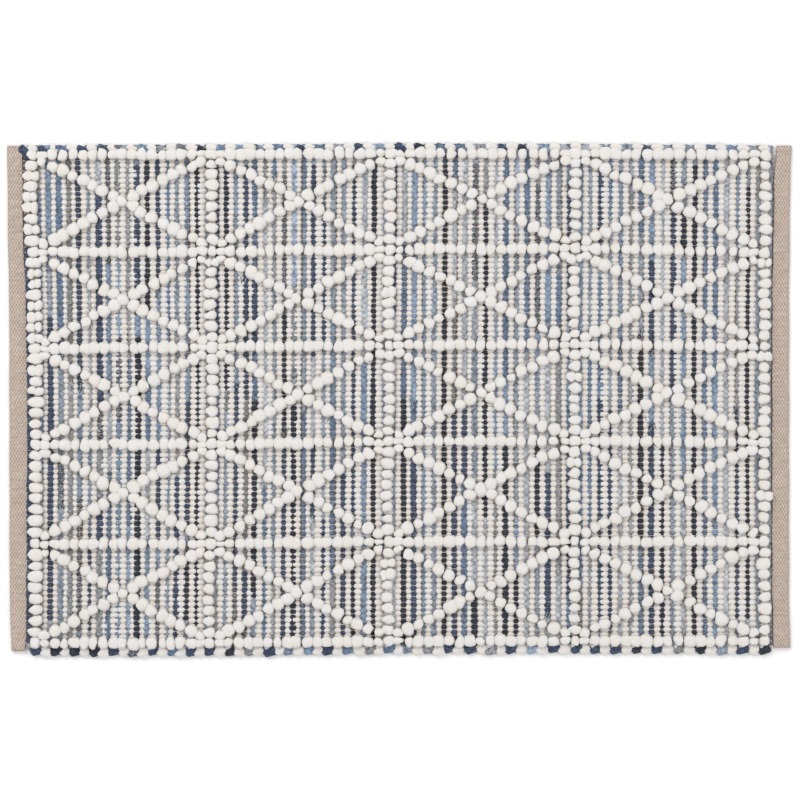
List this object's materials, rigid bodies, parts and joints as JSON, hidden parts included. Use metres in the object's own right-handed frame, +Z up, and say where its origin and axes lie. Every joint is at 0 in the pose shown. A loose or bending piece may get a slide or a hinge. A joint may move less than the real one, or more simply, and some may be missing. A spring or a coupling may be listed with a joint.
{
  "type": "rag rug",
  "caption": "Flat-woven rectangular rag rug with a raised bobble trellis over a denim and cotton ground, and a folded cotton tape over each short end.",
  "frame": {"origin": "on the floor, under the middle of the rug", "axes": "+X along the rug's length, +Y across it towards the far selvedge, +Z up"},
  "size_m": [0.917, 0.5982, 0.0142],
  "materials": {
    "weave": "matte",
    "tape": "matte"
  },
  "bodies": {
    "root": {"woven_field": "weave", "tape_left": "tape", "tape_right": "tape"}
  },
  "joints": []
}
